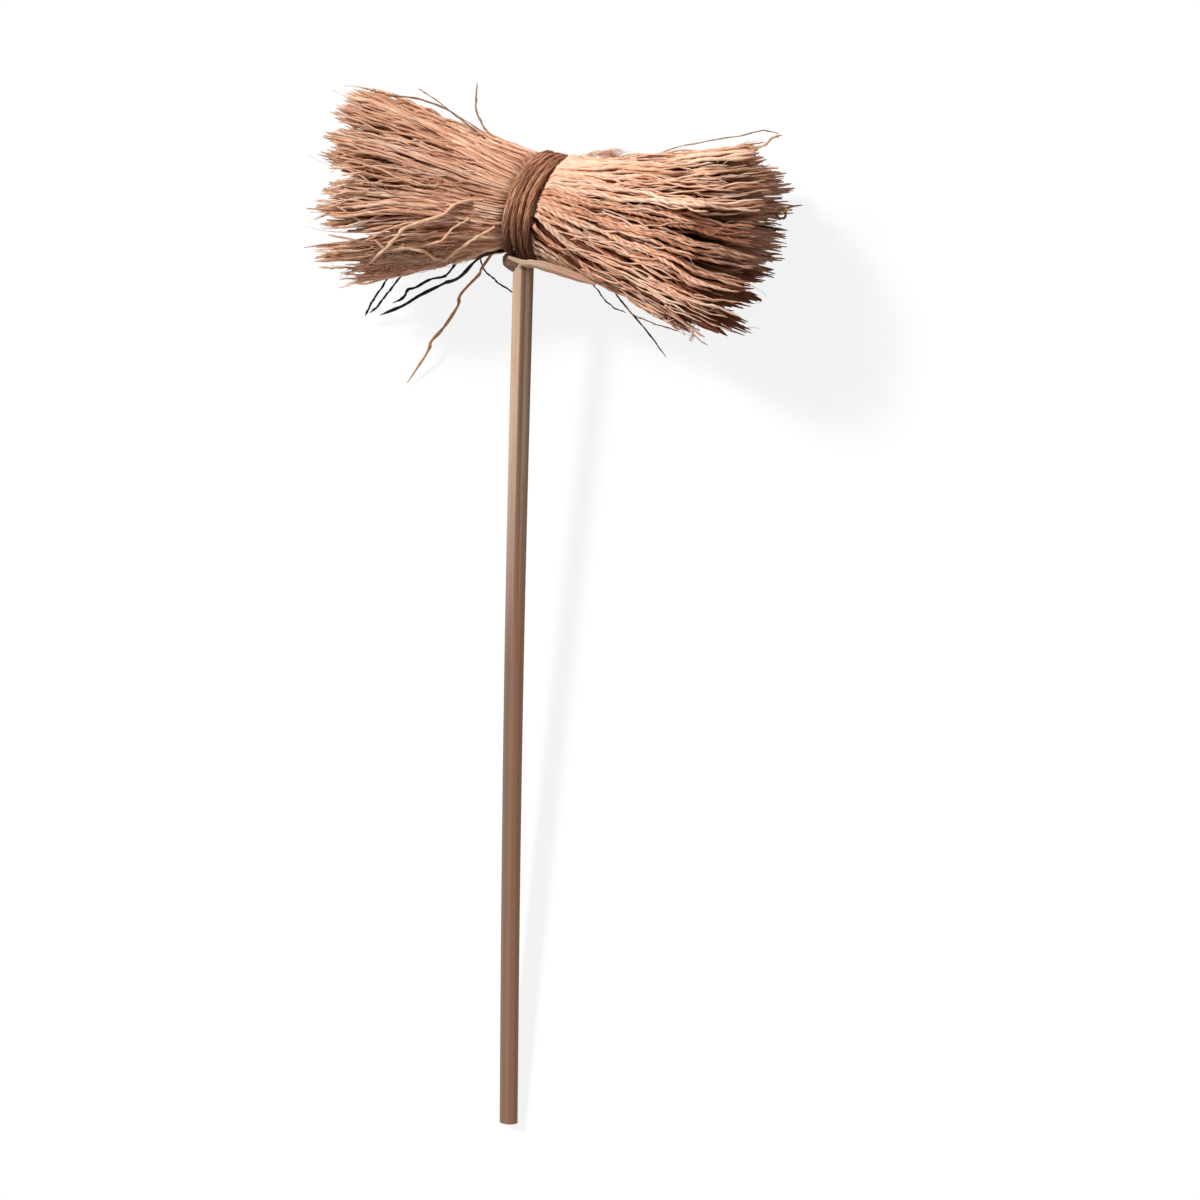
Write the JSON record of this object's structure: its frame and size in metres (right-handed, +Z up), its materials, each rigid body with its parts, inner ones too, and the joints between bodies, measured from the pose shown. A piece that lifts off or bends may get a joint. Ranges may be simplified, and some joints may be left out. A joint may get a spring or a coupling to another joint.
{
  "type": "bundle of root fibres",
  "caption": "Bow-shaped bundle of stiff root fibres, bound at its middle with a wound cord and glued to the top of a split stick, lying down.",
  "frame": {"origin": "middle of the object's box in plan, on the surface that it lies on", "axes": "+Z up; the stick runs from the far end at -Y to the bundle at +Y, and the bundle lies across it, roughly along X"},
  "size_m": [0.1418, 0.3067, 0.056],
  "materials": {
    "root_fibre": "matte",
    "twisted_cord": "matte",
    "split_wood": "matte",
    "hot_glue": "satin",
    "pale_root": "matte"
  },
  "bodies": {
    "root": {"fibre_bundle": "root_fibre", "binding_cord": "twisted_cord", "stick": "split_wood", "glue_bead": "hot_glue", "flat_root": "pale_root"}
  },
  "joints": []
}
